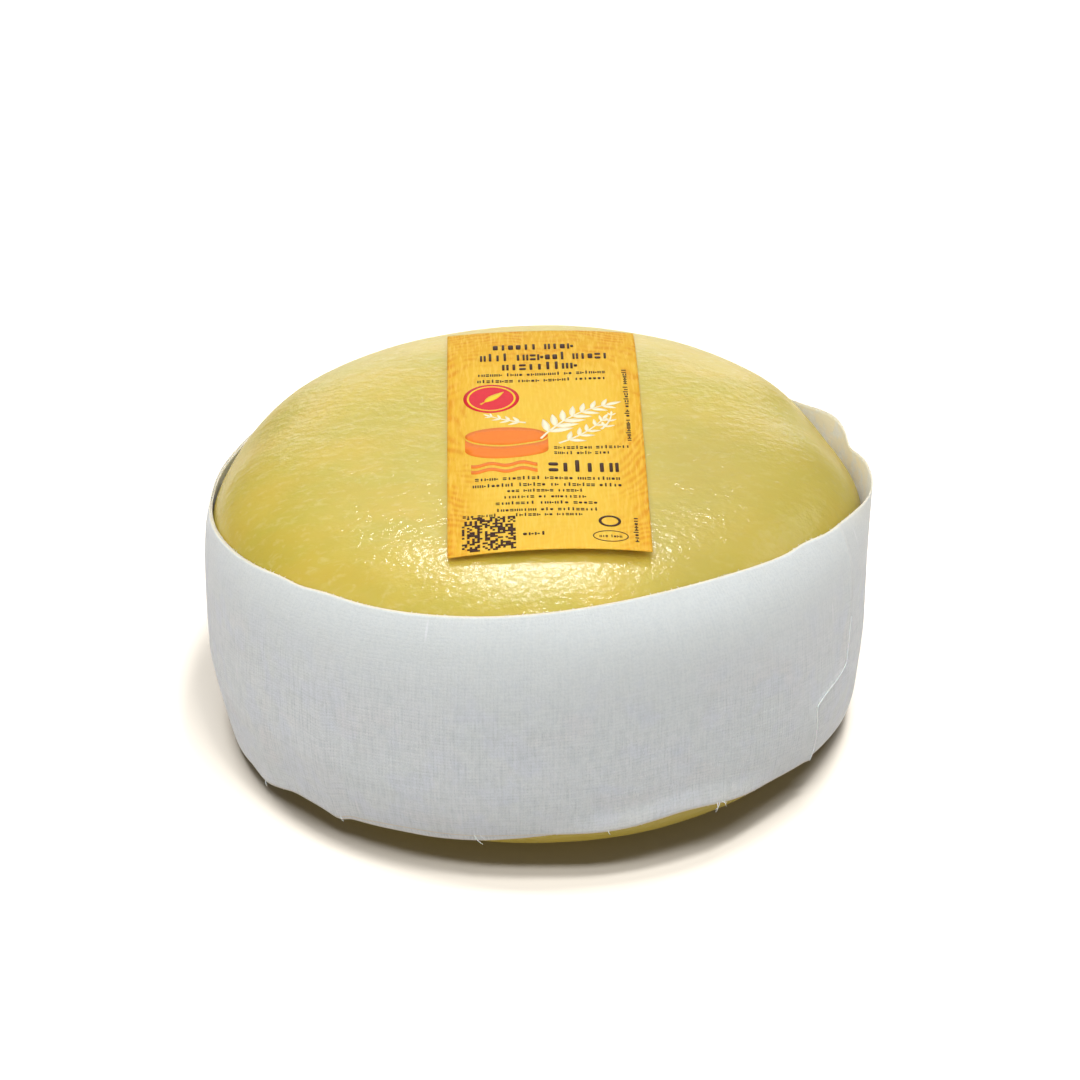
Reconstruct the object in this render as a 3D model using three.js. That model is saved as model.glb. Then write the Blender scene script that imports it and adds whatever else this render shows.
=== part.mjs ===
// A small wheel of cured yellow cheese. A long strip of plain cotton cloth is
// wound round its side, more than once round, and a paper label lies on top.
// Millimetres, +Z up. The wheel stands on z = 0 with its axis on the Z axis,
// and its front faces -Y. Angles go round the wheel from the front to the right.
import * as THREE from 'three';

// Wheel. Angles are in degrees, and a place's spread is how far it reaches to
// either side of its angle.
const WHEEL_RADIUS = 74;
const WAIST_HEIGHT = 37;
const TOP_RISE = 35.3;
const SHOULDER_POWER = 3.8;
const HEEL_DROP = 38.5;
const HEEL_POWER = 4;
const TOP_TILT = 0.0185;
const LUMP_HEIGHT = 0.4;
const LUMP_FADE = 12;
const FLAT_PLACES = [
  { size: 2.5, angle: 106, spread: 14 },
  { size: 1.7, angle: -102, spread: 14 },
];
const FLAT_PLACES_ABOVE_WAIST = 27;
const FLAT_PLACES_REACH_DOWN = 10;
const FLAT_PLACES_REACH_UP = 16;
const WHEEL_COLUMNS = 72;
const WHEEL_ROWS = 27;

// Cloth strip
const CLOTH_WIDTH = 54.5;
const CLOTH_THICKNESS = 0.4;
const CLOTH_GAP = 0.3;
const CLOTH_STEP = 4;
const CLOTH_ROWS = 12;
const CLOTH_MIDDLE = -3.2;
const CLOTH_SWINGS = [4.3, 2.5, 0.45, 0.75];
const CLOTH_SWING_PHASES = [20, 17, 72, 155];
const CLIMB_LENGTH = 25;
const INNER_END_ANGLE = -150;
const OUTER_END_ANGLE = 65;
const OUTER_END_STEP = 11;
const OUTER_END_STEP_ALONG = -9.4;
const OUTER_END_STEP_LENGTH = 5;
const OUTER_END_SLANT = 0.15;
const OUTER_END_REACH = 30;
const HEM_DRAWN_UP = { size: 1.8, angle: 29, spread: 33 };
const HEM_SAGGING = { size: 1.7, angle: -57, spread: 19.4 };
const INNER_HEM_DROP = { size: 3.3, angle: -17, spread: 19.6 };
const HEM_LOOSE_LEFT = { size: 0.9, angle: -78, spread: 55 };
const HEM_LOOSE_RIGHT = { size: 0.65, angle: 80, spread: 30 };
const HEM_LIFT_OFF = -15;
const HEM_LEAN = -0.17;
const HEM_BULGE = { size: 3.5, angle: 84, spread: 12 };
const HEM_BULGE_LENGTH = 19;
const RIM_DRAWN_DOWN = [
  { size: 3.4, angle: 125, spread: 26.6 },
  { size: 4.2, angle: -115, spread: 37 },
];
const RIM_LOOSE_REAR = { size: 1.1, angle: 102.5, spread: 23.5 };
const RIM_LOOSE_LEFT = { size: 0.35, angle: -112, spread: 14 };
const RIM_LIFT_OFF = 8;
const RIM_LEAN = 0.06;
const FLARE_NOTCH = { size: 1.1, angle: 105.6, spread: 4 };
const FLARE_BULGE = { size: 2, angle: 117.3, spread: 7 };
const FLARE_LENGTH = 16;
const FLARE_RISE = 0.6;

// Paper label. It is turned by LABEL_TURN degrees. Its front edge stands off
// the cheese, on the right more than on the left.
const LABEL_WIDTH = 43.4;
const LABEL_LENGTH = 103.5;
const LABEL_THICKNESS = 0.3;
const LABEL_GAP = 0.3;
const LABEL_CENTRE = new THREE.Vector2(2, 0.4);
const LABEL_TURN = 1.15;
const LABEL_FRONT_LIFT = 1.7;
const LABEL_LIFT_LENGTH = 22;
const LABEL_CORNER_DROP = 0.15;
const LABEL_RIGHT_RISE = 0.3;
const LABEL_COLUMNS = 8;
const LABEL_ROWS = 18;

const radians = THREE.MathUtils.degToRad;

function material(color, roughness) {
  return new THREE.MeshStandardMaterial({ color, roughness, metalness: 0 });
}

// Half of the wheel's section, from the edge of its flat base up to the
// middle of the top: one superellipse below the waist and another above it.
class WheelProfile extends THREE.Curve {
  constructor() {
    super();
    this.arcLengthDivisions = 900;
    const share = (WAIST_HEIGHT / HEEL_DROP) ** HEEL_POWER;
    this.baseRadius = WHEEL_RADIUS * (1 - share) ** (1 / HEEL_POWER);
    this.start = Math.atan2(-WAIST_HEIGHT, this.baseRadius);
  }

  getPoint(t, target = new THREE.Vector2()) {
    const angle = THREE.MathUtils.lerp(this.start, Math.PI / 2, t);
    const height = angle < 0 ? HEEL_DROP : TOP_RISE;
    const power = angle < 0 ? HEEL_POWER : SHOULDER_POWER;
    const across = Math.abs(Math.cos(angle) / WHEEL_RADIUS) ** power;
    const upward = Math.abs(Math.sin(angle) / height) ** power;
    const reach = (across + upward) ** (-1 / power);
    return target.set(reach * Math.cos(angle), WAIST_HEIGHT + reach * Math.sin(angle));
  }
}

const profile = new WheelProfile();
const profileLength = profile.getLength();
const waistLength = lengthAtHeight(WAIST_HEIGHT);

// Length along the section, from the base up to a height.
function lengthAtHeight(height) {
  let low = 0;
  let high = 1;
  for (let pass = 0; pass < 40; pass += 1) {
    const middle = (low + high) / 2;
    if (profile.getPointAt(middle).y < height) low = middle;
    else high = middle;
  }
  return low * profileLength;
}

// Low swellings of a hand-turned cheese, between -1 and 1.
function lumps(angle, share) {
  const slow = Math.sin(2 * angle + 0.7 + 2.1 * share);
  const middle = Math.sin(3 * angle - 1.3 - 4 * share);
  const quick = Math.sin(5 * angle + 2.2 + 7 * share);
  return 0.5 * slow + 0.3 * middle + 0.2 * quick;
}

// Point on the wheel at a share of the section's length, or out mm off it.
// The swellings die away towards the base and the middle of the top.
function wheelPoint(angle, share, out = 0) {
  const point = profile.getPointAt(share);
  const along = profile.getTangentAt(share);
  const edge = Math.min(point.x, point.y) / LUMP_FADE;
  const swelling = LUMP_HEIGHT * lumps(angle, share) * Math.min(edge, 1);
  const radius = point.x + along.y * (out + swelling);
  const height = point.y - along.x * (out + swelling);
  return placeRound(angle, radius, height);
}

// Point at an angle, radius and height. Above the waist the wheel leans a
// little, so that its right side stands higher.
function placeRound(angle, radius, height) {
  const x = radius * Math.sin(angle);
  const y = -radius * Math.cos(angle);
  const upper = THREE.MathUtils.clamp((height - WAIST_HEIGHT) / TOP_RISE, 0, 1);
  return new THREE.Vector3(x, y, height + upper * TOP_TILT * x);
}

function meshFrom(name, points, faces, look) {
  const geometry = new THREE.BufferGeometry();
  const places = points.flatMap((point) => point.toArray());
  geometry.setAttribute('position', new THREE.Float32BufferAttribute(places, 3));
  geometry.setIndex(faces.flat());
  geometry.computeVertexNormals();
  const mesh = new THREE.Mesh(geometry, look);
  mesh.name = name;
  return mesh;
}

// A thin closed solid on a grid. pairAt gives the two points of the inner and
// outer face at a column and a row; seen from outside, columns run to the
// right and rows run upward.
function sheetSolid(name, columns, rows, pairAt, look) {
  const points = [];
  for (let column = 0; column <= columns; column += 1) {
    for (let row = 0; row <= rows; row += 1) points.push(...pairAt(column, row));
  }
  const faces = [];
  const quad = (a, b, c, d) => faces.push([a, b, c], [a, c, d]);
  const line = 2 * (rows + 1);
  const last = columns * line;
  for (let here = 0; here < last; here += line) {
    const there = here + line;
    for (let row = 0; row < 2 * rows; row += 2) {
      quad(here + row + 1, there + row + 1, there + row + 3, here + row + 3);
      quad(here + row, here + row + 2, there + row + 2, there + row);
    }
    quad(here, there, there + 1, here + 1);
    quad(here + line - 2, here + line - 1, there + line - 1, there + line - 2);
  }
  for (let row = 0; row < 2 * rows; row += 2) {
    quad(row, row + 1, row + 3, row + 2);
    quad(last + row, last + row + 2, last + row + 3, last + row + 1);
  }
  return meshFrom(name, points, faces, look);
}

// How much of a place's size is left some way round from it. A larger power
// gives it a flat top.
function fading(place, away, power) {
  return place.size * Math.exp(-(Math.abs(away / radians(place.spread)) ** power));
}

// How strongly a place is felt at an angle, each time round.
function felt(place, angle, power = 2) {
  const away = angle - radians(place.angle) + Math.PI;
  return fading(place, THREE.MathUtils.euclideanModulo(away, 2 * Math.PI) - Math.PI, power);
}

// How far the shoulder is pressed flat at the right rear and the left rear, at
// a length above the wheel's waist.
function pressedIn(angle, along) {
  const depth = FLAT_PLACES.reduce((sum, place) => sum + felt(place, angle), 0);
  const above = along - FLAT_PLACES_ABOVE_WAIST;
  const reach = above > 0 ? FLAT_PLACES_REACH_UP : FLAT_PLACES_REACH_DOWN;
  return depth * Math.exp(-((above / reach) ** 2));
}

// The cheese: rings from the edge of the flat base to near the middle of the
// top, closed by a fan below and a fan above.
function cheeseWheel() {
  const points = [];
  const faces = [];
  for (let row = 0; row < WHEEL_ROWS; row += 1) {
    const share = row / WHEEL_ROWS;
    const along = share * profileLength - waistLength;
    for (let column = 0; column < WHEEL_COLUMNS; column += 1) {
      const angle = (column / WHEEL_COLUMNS) * 2 * Math.PI;
      points.push(wheelPoint(angle, share, -pressedIn(angle, along)));
    }
  }
  const bottom = points.push(new THREE.Vector3(0, 0, 0)) - 1;
  const top = points.push(wheelPoint(0, 1)) - 1;
  const lastRing = (WHEEL_ROWS - 1) * WHEEL_COLUMNS;
  for (let column = 0; column < WHEEL_COLUMNS; column += 1) {
    const next = (column + 1) % WHEEL_COLUMNS;
    faces.push([bottom, next, column]);
    faces.push([top, lastRing + column, lastRing + next]);
    for (let ring = 0; ring < lastRing; ring += WHEEL_COLUMNS) {
      faces.push([ring + column, ring + next, ring + WHEEL_COLUMNS + next]);
      faces.push([ring + column, ring + WHEEL_COLUMNS + next, ring + WHEEL_COLUMNS + column]);
    }
  }
  return meshFrom('cheese_wheel', points, faces, material(0xd6c75c, 0.35));
}

// How far above the waist the strip's middle line is at an angle. The strip
// was wound by hand, so the line wanders in slow swings.
function clothWander(angle) {
  return CLOTH_SWINGS.reduce((sum, swing, index) => {
    return sum + swing * Math.cos((index + 1) * angle - radians(CLOTH_SWING_PHASES[index]));
  }, CLOTH_MIDDLE);
}

// How far the hem is drawn up at the right front, and sags at the left. The
// strip's first layer shows below the second one at the left front.
function hemShift(angle) {
  const drop = fading(INNER_HEM_DROP, angle - radians(INNER_HEM_DROP.angle), 2);
  return felt(HEM_DRAWN_UP, angle) - felt(HEM_SAGGING, angle) - drop;
}

// How far the rim is drawn down at the right rear and the left rear.
function rimDrop(angle) {
  return RIM_DRAWN_DOWN.reduce((sum, place) => sum + felt(place, angle), 0);
}

// Share by which the strip's edge leaves the wheel at the looser of two places.
function freedom(first, second, angle) {
  return Math.max(felt(first, angle, 4), felt(second, angle, 4));
}

// Point on the cloth, out mm off the wheel, along mm above its waist. It
// hugs the wheel, except where its rim or hem goes straight on. The loose
// rim at the right rear has a notch and a bulge, and the loose hem at the
// right has a bulge.
function clothPoint(angle, along, out) {
  const hugging = wheelPoint(angle, (waistLength + along) / profileLength, out);
  const rim = along > 0;
  const bend = rim ? RIM_LIFT_OFF : HEM_LIFT_OFF;
  const past = Math.max(along / bend - 1, 0) * Math.abs(bend);
  if (past === 0) return hugging;
  const start = profile.getPointAt((waistLength + bend) / profileLength);
  if (!rim) {
    const bulge = felt(HEM_BULGE, angle) * THREE.MathUtils.smoothstep(past, 0, HEM_BULGE_LENGTH);
    const hanging = placeRound(angle, start.x + out + HEM_LEAN * past + bulge, start.y - past);
    return hugging.lerp(hanging, freedom(HEM_LOOSE_LEFT, HEM_LOOSE_RIGHT, angle));
  }
  const shape = felt(FLARE_BULGE, angle) - felt(FLARE_NOTCH, angle);
  const bulge = shape * THREE.MathUtils.smoothstep(past, 0, FLARE_LENGTH);
  const radius = start.x + out + RIM_LEAN * past + bulge;
  const standing = placeRound(angle, radius, start.y + past + FLARE_RISE * bulge);
  return hugging.lerp(standing, freedom(RIM_LOOSE_REAR, RIM_LOOSE_LEFT, angle));
}

// How far off the wheel the strip's inner face is after a length of winding,
// in radians from its inner end: it climbs onto its own start once round.
function clothLayer(wound) {
  const climbed = 1 - (2 * Math.PI - wound) / radians(CLIMB_LENGTH);
  return CLOTH_GAP + (CLOTH_THICKNESS + CLOTH_GAP) * THREE.MathUtils.smoothstep(climbed, 0, 0.9);
}

// The outer end is cut in a step: its lower part stops short, and both parts
// slant away from the step.
function outerEndAngle(along) {
  const above = along - OUTER_END_STEP_ALONG;
  const lower = 1 - THREE.MathUtils.smoothstep(above / OUTER_END_STEP_LENGTH, -0.5, 0.5);
  const slant = OUTER_END_SLANT * Math.abs(above);
  return radians(360 + OUTER_END_ANGLE - OUTER_END_STEP * lower + slant);
}

// The cloth: one strip of even width, wound from its inner end, all round and
// on to its outer end. Its last stretch is drawn out to the stepped cut.
function clothBand() {
  const start = radians(INNER_END_ANGLE);
  const length = radians(360 + OUTER_END_ANGLE - INNER_END_ANGLE);
  const columns = Math.round(length / radians(CLOTH_STEP));
  return sheetSolid('cloth_band', columns, CLOTH_ROWS, (column, row) => {
    const share = row / CLOTH_ROWS;
    const across = (share - 0.5) * CLOTH_WIDTH;
    const plain = start + (length * column) / columns;
    const end = outerEndAngle(across + clothWander(start + length));
    const near = Math.max(1 - (start + length - plain) / radians(OUTER_END_REACH), 0);
    const angle = plain + near * (end - start - length);
    const shift = (1 - share) * hemShift(angle) - share * rimDrop(angle);
    const along = clothWander(angle) + across + shift;
    const inside = clothLayer(angle - start);
    return [inside, inside + CLOTH_THICKNESS].map((out) => clothPoint(angle, along, out));
  }, material(0xdde1de, 0.9));
}

// Height of the wheel's top under a point.
function topHeight(x, y) {
  const angle = Math.atan2(x, -y);
  const radius = Math.hypot(x, y);
  let low = waistLength / profileLength;
  let high = 1;
  for (let pass = 0; pass < 30; pass += 1) {
    const middle = (low + high) / 2;
    const point = wheelPoint(angle, middle);
    if (Math.hypot(point.x, point.y) > radius) low = middle;
    else high = middle;
  }
  return wheelPoint(angle, low).z;
}

// How far the label stands off the cheese near its front edge.
function labelLift(across, backward) {
  const toEdge = backward + LABEL_LENGTH / 2;
  const near = THREE.MathUtils.clamp(1 - toEdge / LABEL_LIFT_LENGTH, 0, 1);
  const side = across / (LABEL_WIDTH / 2);
  return LABEL_FRONT_LIFT * near ** 2 * (1 - LABEL_CORNER_DROP * side ** 2 + LABEL_RIGHT_RISE * side);
}

// The label: a thin sheet that follows the top of the wheel.
function paperLabel() {
  const middle = new THREE.Vector2();
  return sheetSolid('paper_label', LABEL_COLUMNS, LABEL_ROWS, (column, row) => {
    const across = (column / LABEL_COLUMNS - 0.5) * LABEL_WIDTH;
    const backward = (row / LABEL_ROWS - 0.5) * LABEL_LENGTH;
    const flat = new THREE.Vector2(across, backward).rotateAround(middle, radians(LABEL_TURN));
    const { x, y } = flat.add(LABEL_CENTRE);
    const under = topHeight(x, y) + LABEL_GAP + labelLift(across, backward);
    return [under, under + LABEL_THICKNESS].map((height) => new THREE.Vector3(x, y, height));
  }, material(0xf0b545, 0.6));
}

const cheese = new THREE.Group();
cheese.add(cheeseWheel(), clothBand(), paperLabel());

export default cheese;
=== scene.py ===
import math
import random

import bmesh
import bpy
import numpy as np
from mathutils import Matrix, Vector, noise


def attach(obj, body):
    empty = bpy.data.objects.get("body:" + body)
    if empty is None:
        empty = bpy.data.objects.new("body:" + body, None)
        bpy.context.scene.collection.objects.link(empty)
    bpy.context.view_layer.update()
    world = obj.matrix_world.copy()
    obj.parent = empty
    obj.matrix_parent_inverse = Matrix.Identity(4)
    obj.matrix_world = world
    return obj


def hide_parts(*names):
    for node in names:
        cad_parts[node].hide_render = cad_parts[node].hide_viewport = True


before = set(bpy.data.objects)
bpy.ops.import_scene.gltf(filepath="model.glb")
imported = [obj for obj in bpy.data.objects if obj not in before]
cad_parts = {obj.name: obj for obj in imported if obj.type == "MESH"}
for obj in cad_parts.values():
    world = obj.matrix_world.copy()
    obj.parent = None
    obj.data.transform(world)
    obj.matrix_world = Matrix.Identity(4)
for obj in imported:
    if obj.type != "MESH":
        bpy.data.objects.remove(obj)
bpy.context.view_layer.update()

# Wheel, as in the solids. Angles are in degrees. A place round the wheel is its size,
# its angle and its spread, which is how far it reaches to either side.
WHEEL_RADIUS = 0.074
WAIST_HEIGHT = 0.037
TOP_RISE = 0.0353
SHOULDER_POWER = 3.8
HEEL_DROP = 0.0385
HEEL_POWER = 4
TOP_TILT = 0.0185
LUMP_HEIGHT = 0.0004
LUMP_FADE = 0.012
FLAT_PLACES = ((0.0025, 106, 14), (0.0017, -102, 14))
FLAT_PLACES_ABOVE_WAIST = 0.027
FLAT_PLACES_REACH_DOWN = 0.01
FLAT_PLACES_REACH_UP = 0.016
WHEEL_COLUMNS = 620
WHEEL_ROWS = 155
SECTION_STEPS = 6000

# Relief of the rind: wave length and height of each kind
DENTS = (0.017, 0.00022)
RIPPLES = (0.0042, 0.00005)
RIPPLE_STRETCH = (1, 1.6, 1.6)

# Cloth strip, as in the solids
CLOTH_WIDTH = 0.0545
STRIP_RADIUS = 0.075
CLOTH_GAP = 0.0003
CLOTH_COLUMNS = 660
CLOTH_ROWS = 74
CLOTH_MIDDLE = -0.0032
CLOTH_SWINGS = (0.0043, 0.0025, 0.00045, 0.00075)
CLOTH_SWING_PHASES = (20, 17, 72, 155)
CLIMB_LENGTH = 25
CLIMB_DONE = 0.9
INNER_END_ANGLE = -150
OUTER_END_ANGLE = 65
OUTER_END_STEP = 11
OUTER_END_STEP_ALONG = -0.0094
OUTER_END_SLANT = 150
OUTER_END_REACH = 30
HEM_DRAWN_UP = (0.0018, 29, 33)
HEM_SAGGING = (0.0017, -57, 19.4)
HEM_LOOSE = ((0.9, -78, 55), (0.65, 80, 30))
HEM_LIFT_OFF = -0.015
HEM_LEAN = -0.17
HEM_BULGE = (0.0035, 84, 12)
HEM_BULGE_LENGTH = 0.019
RIM_LOOSE = ((1.1, 102.5, 23.5), (0.35, -112, 14))
RIM_LIFT_OFF = 0.008
RIM_LEAN = 0.06
RIM_DRAWN_DOWN = ((0.0034, 125, 26.6), (0.0042, -115, 37))
FLARE_NOTCH = (0.0011, 105.6, 4)
FLARE_BULGE = (0.002, 117.3, 7)
FLARE_LENGTH = 0.016
FLARE_RISE = 0.6
INNER_HEM_DROP = (0.0033, -17, 19.6)

# A loose stretch of the hem or rim starts and ends more sharply than other places
LOOSE_POWER = 4

# Cloth details that the solids leave out. The cloth is thinner here, and its end's step softer.
CLOTH_THICKNESS = 0.0003
LAYER_GAP = 0.0001
OUTER_END_STEP_LENGTH = 0.0075
HEM_SCALLOPS = (
    (0.0013, -62.5, 3.5), (-0.0012, -59, 4.3), (0.0016, -47.5, 4.7), (-0.0018, -38, 2.3),
    (0.0008, -23.5, 8), (0.0005, -4, 10), (0.0015, 26, 7.8),
)
RIM_SCALLOPS = ((0.0006, -46, 4.3), (-0.0009, -46, 10.7), (-0.0007, 59, 5))
HEM_FLARE = (0.0014, 23.5, 18)
HEM_FLARE_LENGTH = 0.006
END_CURL = 0.0003
END_CURL_LENGTH = 0.003
CLOTH_WAVE = (0.02, 0.00016)
CLOTH_PUCKER = (0.006, 0.00005)
CLOTH_DEEPEST = -0.0002
THREAD_PITCH = 0.00078
RAW_EDGE = 0.0005
# Oil in the cloth with painted warm light shining through it, at the loose rim: place along the strip, reach
# along it, and depth from the rim
OIL_AND_GLOW_ALONG = 0.345
OIL_AND_GLOW_REACH = 0.035
OIL_AND_GLOW_DEPTH = 0.02

# Loose fibres along both raw edges, the thick thread along the outer end, and
# loose threads at the hem: angle, sideways reach, drop and how far they stand off.
# Rows and depths are shares of the cloth's width and thickness, and the tubes are
# built round a direction that no thread runs along.
FIBRES_AN_EDGE = 450
FIBRE_LENGTHS = (0.0001, 0.0005)
FIBRE_SHORTNESS = 3
FIBRE_DEPTHS = (0.2, 0.8)
FIBRE_ROOT = -0.3
FIBRE_POINTS = 4
FIBRE_RADIUS = 0.00005
END_THREAD_RADIUS = 0.00016
END_THREAD_ROWS = (0.004, 0.62)
END_THREAD_DEPTH = 1.2
END_THREAD_POINTS = 90
LOOSE_THREAD_RADIUS = 0.00009
LOOSE_THREAD_ROW = 0.008
LOOSE_THREAD_DEPTH = 0.5
LOOSE_THREAD_POINTS = 10
LOOSE_THREAD_BEND = 1.4
LOOSE_THREAD_LEAST_DROP = 0.0004
THREAD_TIP = 0.6
TUBE_DIRECTION = (0.36, 0.48, 0.8)
LOOSE_THREADS = (
    (-10.5, 0.0019, 0.0017, 0.0006),
    (-9.5, 0.0012, 0.0006, 0.0003),
    (31.5, -0.0006, 0.0018, 0.0009),
    (32, -0.0012, 0.0012, 0.0006),
    (32.5, 0.0011, 0.0003, 0.0007),
    (33, 0.0005, 0.0013, 0.0004),
    (-58, 0.0008, 0.0009, 0.0004),
    (-37, 0.0009, 0.0006, 0.0003),
    (12, 0.0005, 0.0008, 0.0003),
    (150, 0.0014, 0.0015, 0.0006),
)

# Label, as in the solids, but thinner
LABEL_WIDTH = 0.0434
LABEL_LENGTH = 0.1035
LABEL_THICKNESS = 0.0002
LABEL_GAP = 0.0003
LABEL_CENTRE = (0.002, 0.0004)
LABEL_TURN = math.radians(1.15)
LABEL_FRONT_LIFT = 0.0017
LABEL_LIFT_LENGTH = 0.022
LABEL_CORNER_DROP = 0.15
LABEL_RIGHT_RISE = 0.3
LABEL_COLUMNS = 60
LABEL_ROWS = 140
GRAIN_MIDDLE = (-0.006, 0.008, 0)
GRAIN_PITCH = 0.0024
GRAIN_BEND = 44
INK_THICKNESS = 0.00002
INK_STEP = 0.0025
WELD_DISTANCE = 1e-6
MILLIMETRE = 0.001

# Colours, as red, green, blue and full cover
RIND_HUES = ((0.49, 0.40, 0.047, 1), (0.55, 0.42, 0.052, 1))
RIND_DEEP = (0.56, 0.36, 0.03, 1)
RIND_PALE = (0.66, 0.56, 0.20, 1)
# Painted shade for the low shoulder and below it
RIND_PAINTED_SHOULDER_SHADE = (0.46, 0.34, 0.038, 1)
# Painted shade for the right front of the top
RIND_PAINTED_SHADE_RIGHT = (0.40, 0.315, 0.036, 1)
COTTON_HUES = ((0.89, 0.935, 0.905, 1), (0.93, 0.955, 0.94, 1))
COTTON_COOL = (0.87, 0.905, 0.975, 1)
COTTON_WARM = (0.94, 0.92, 0.89, 1)
COTTON_PORE = (0.56, 0.61, 0.60, 1)
COTTON_PALE = (0.98, 0.98, 0.97, 1)
# Painted shade towards the cloth's top
COTTON_PAINTED_TOP_SHADE = (0.80, 0.83, 0.78, 1)
COTTON_EDGE = (0.84, 0.74, 0.54, 1)
# Oil in the cloth, with painted warm light shining through it
COTTON_OIL_AND_GLOW = (0.93, 0.82, 0.55, 1)
PAPER_MIDDLE = (0.77, 0.46, 0.055, 1)
PAPER_SIDE = (0.68, 0.34, 0.02, 1)
PAPER_FLAME = (0.60, 0.19, 0.008, 1)
PAPER_PALE = (0.84, 0.55, 0.10, 1)
FLOOR_HUES = ((0.36, 0.334, 0.298, 1), (0.355, 0.33, 0.294, 1))
INKS = {
    "brown": (0.05, 0.016, 0.006),
    "orange": (0.84, 0.20, 0.012),
    "white": (0.93, 0.84, 0.60),
    "red": (0.68, 0.015, 0.03),
    "yellow": (0.90, 0.60, 0.03),
}

# Where a painted shade or a colour change starts and where it is full or has ended: heights and places on
# the wheel, and places on the flat label from its middle
SHOULDER_SHADE = (0.05, 0.067)
PAINTED_RIGHT_SHADE_ACROSS = (0.012, 0.036)
PAINTED_RIGHT_SHADE_BACK = (-0.01, 0.02)
PAINTED_TOP_SHADE_HEIGHTS = (0.04, 0.06)
WEAVE_FADE_HEIGHTS = (0.036, 0.058)
PAPER_SIDES = (0.011, 0.0225)
PAPER_FAR_END = (0.015, 0.045)

# Depth of the small relief in the materials
RIND_RELIEF = 0.0001
RIND_COAT_RELIEF = 0.00034
WEAVE_RELIEF = 0.00007
FUZZ_RELIEF = 0.00008

# Print on the label, in millimetres on the flat label from its middle: rows of
# marks as left, right, low, height and marks in each group
PRINT_ROWS = (
    (-11.3, 7.3, 39.0, 4.2, (6, 4)),
    (-14.2, 15.1, 33.0, 4.2, (4, 7, 5)),
    (-9.2, 7.9, 28.0, 3.9, (9,)),
    (-14.9, 14.2, 25.0, 1.5, (6, 4, 8, 2, 7)),
    (-14.9, 14.2, 21.9, 1.5, (8, 5, 6, 7)),
    (1.8, 18.4, -9.6, 1.4, (9, 8)),
    (1.8, 14.0, -12.0, 1.4, (5, 4, 4)),
    (0.4, 15.7, -20.0, 5.2, (6,)),
    (-15.7, 15.8, -23.4, 1.4, (5, 8, 6, 9)),
    (-16.2, 16.1, -26.2, 1.4, (9, 6, 2, 7, 5)),
    (-8.8, 7.6, -28.6, 1.2, (3, 7, 6)),
    (-9.6, 8.2, -31.1, 1.2, (7, 2, 8)),
    (-11.3, 10.6, -33.6, 1.2, (8, 6, 5)),
    (-11.2, 10.6, -36.4, 1.2, (9, 3, 9)),
    (-7.2, 7.2, -38.5, 1.2, (6, 2, 6)),
    (-18.4, -11.2, -38.2, 1.1, (3, 5)),
    (-5.7, -0.8, -46.3, 1.4, (4,)),
    (10.6, 15.4, -47.3, 1.0, (3, 4)),
)

# Rows along the label's right edge, as start, end and marks in each group
PRINT_EDGE_ROWS = ((-6.7, 26.9, (9, 3, 9, 7)), (-48.7, -38.9, (9,)))
PRINT_EDGE_LOW = 17.9
PRINT_EDGE_HEIGHT = 1.1

# Marks that stand for print: blocks of left, low, width and height in shares of a row's height
MARKS = (
    ((0.01, 0, 0.22, 0.75), (0.39, 0, 0.22, 0.75)),
    ((0.16, 0, 0.26, 1),),
    ((0, 0, 0.62, 0.26), (0, 0.5, 0.62, 0.26)),
    ((0.05, 0.06, 0.5, 0.62),),
    ((0, 0, 0.22, 0.75), (0.32, 0.22, 0.3, 0.3)),
    ((0.18, 0, 0.25, 0.75),),
)
MARK_WIDTH = 0.6
MARK_GAP = 0.18
MARK_CORNER = 0.3
GROUP_GAP = 0.6

# The square code, two round marks as middle, radii and line width, the badge, the
# cheese, the waves and the sprigs
CODE_LEFT = -18.6
CODE_LOW = -51.0
CODE_CELL = (0.545, 0.605)
CODE_CELLS = 21
CODE_INSET = 0.02
ROUND_MARK = ((13, -40.7), (2.4, 2.3), 0.6)
OVAL_MARK = ((13, -46.8), (3.8, 2.2), 0.22)
BADGE = (-11.8, 14.3)
BADGE_SIZE = (6.3, 6.6)
BADGE_LINE = ((5.5, 5.8), 0.45)
BADGE_CORNERS = 96
BADGE_LEAF = ((-14.2, 11.7), 0.82, 0, 1.2, 0, 11)
CHEESE_MARK = (-8.6, -3.4)
CHEESE_MARK_SIZE = (9.2, 4.0)
CHEESE_MARK_DEPTH = 5.6
CHEESE_MARK_LINE = 0.7
WAVE_LOWS = (-15.6, -18.2)
WAVE_ENDS = (-16.5, -2)
WAVE_DEPTH = 1.5
WAVE_HEIGHT = 0.6
WAVE_TURN = 0.9
CURVE_POINTS = 25
ELLIPSE_CORNERS = 40

# Sprigs, as root, heading, bend, length, pairs of leaves and longest leaf
SPRIGS = (
    ((-1, -5), 1.15, -0.75, 22, 7, 6.5),
    ((3, -7), 0.55, 0.5, 15, 5, 4.5),
    ((-4.2, 2.6), 2.9, -0.35, 9, 4, 3.2),
    ((12.5, -1), 0.9, 0.6, 7, 3, 2.8),
)
SPRIG_STEPS = 24
STEM_WIDTHS = (0.56, 0.24)
FIRST_LEAVES = 0.2
LAST_LEAVES = 0.95
LEAF_TURN = 0.75
LEAF_SHRINK = 0.5
LEAF_WIDTH = 0.3
LEAF_POINTS = 9
LEAF_FULLNESS = 0.8
TIP_LEAF = 0.6

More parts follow.
